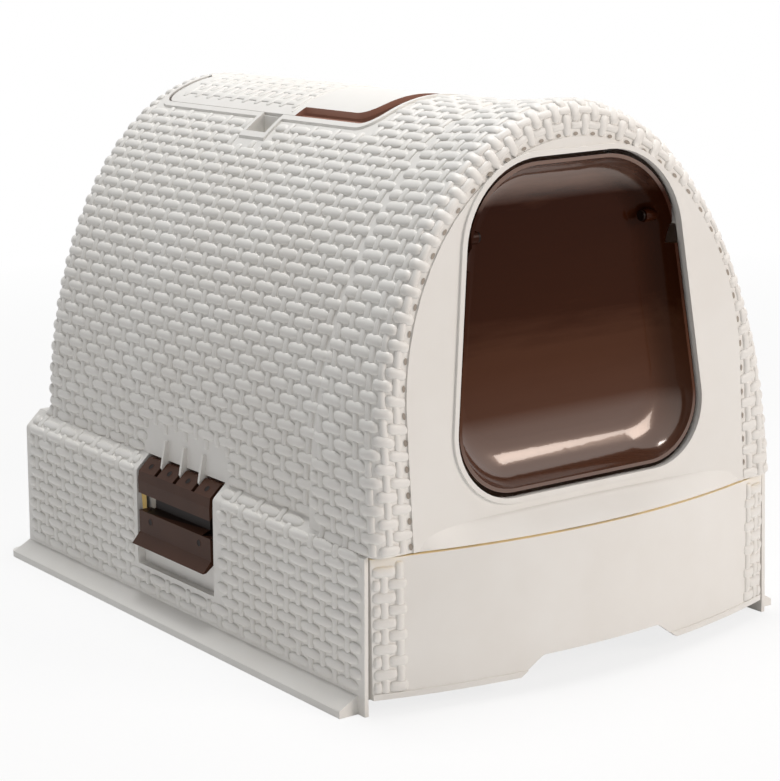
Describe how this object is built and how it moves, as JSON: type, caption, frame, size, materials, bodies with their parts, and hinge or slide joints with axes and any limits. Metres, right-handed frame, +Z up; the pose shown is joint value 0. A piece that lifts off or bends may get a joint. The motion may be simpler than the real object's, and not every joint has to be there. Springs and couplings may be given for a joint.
{
  "type": "litter box",
  "caption": "Hooded litter box with a rattan-weave arch, a brown swing flap, a pull-out litter drawer, side clips and a filter lid in the roof.",
  "frame": {"origin": "centre of the footprint on the floor", "axes": "+X to the right seen from the front, -Y out of the doorway, +Z up"},
  "size_m": [0.385, 0.51, 0.3845],
  "materials": {
    "ivory_plastic": "satin moulded",
    "smoked_flap": "gloss, smoked brown",
    "brown_plastic": "semi-gloss moulded",
    "pin_steel": "drawn rod",
    "filter_felt": "carbon felt"
  },
  "bodies": {
    "housing": {"hood": "ivory_plastic", "base_tray": "ivory_plastic", "filter_tray": "brown_plastic", "carbon_filter": "filter_felt", "flap_pivot_pin_left": "brown_plastic", "flap_pivot_pin_right": "brown_plastic", "clip_pin_left": "pin_steel", "clip_pin_right": "pin_steel"},
    "drawer": {"litter_drawer": "ivory_plastic"},
    "flap": {"door_flap": "smoked_flap"},
    "left_clip": {"clip_left": "brown_plastic"},
    "right_clip": {"clip_right": "brown_plastic"},
    "lid": {"filter_lid": "ivory_plastic"}
  },
  "joints": [
    {"name": "flap_hinge", "type": "hinge", "parent": "housing", "child": "flap", "pos_m": [0, -0.20926, 0.30081], "axis": [1, 0, 0], "range_deg": [-75, 75]},
    {"name": "drawer_slide", "type": "slide", "parent": "housing", "child": "drawer", "axis": [0, -1, 0], "range_m": [0, 0.36]},
    {"name": "clip_left_hinge", "type": "hinge", "parent": "housing", "child": "left_clip", "pos_m": [-0.1654, 0.0145, 0.11157], "axis": [0, 1, 0], "range_deg": [0, 95]},
    {"name": "clip_right_hinge", "type": "hinge", "parent": "housing", "child": "right_clip", "pos_m": [0.1654, 0.0145, 0.11157], "axis": [0, -1, 0], "range_deg": [0, 95]},
    {"name": "lid_hinge", "type": "hinge", "parent": "housing", "child": "lid", "pos_m": [0, 0.2125, 0.3745], "axis": [-1, 0, 0], "range_deg": [0, 75]}
  ]
}
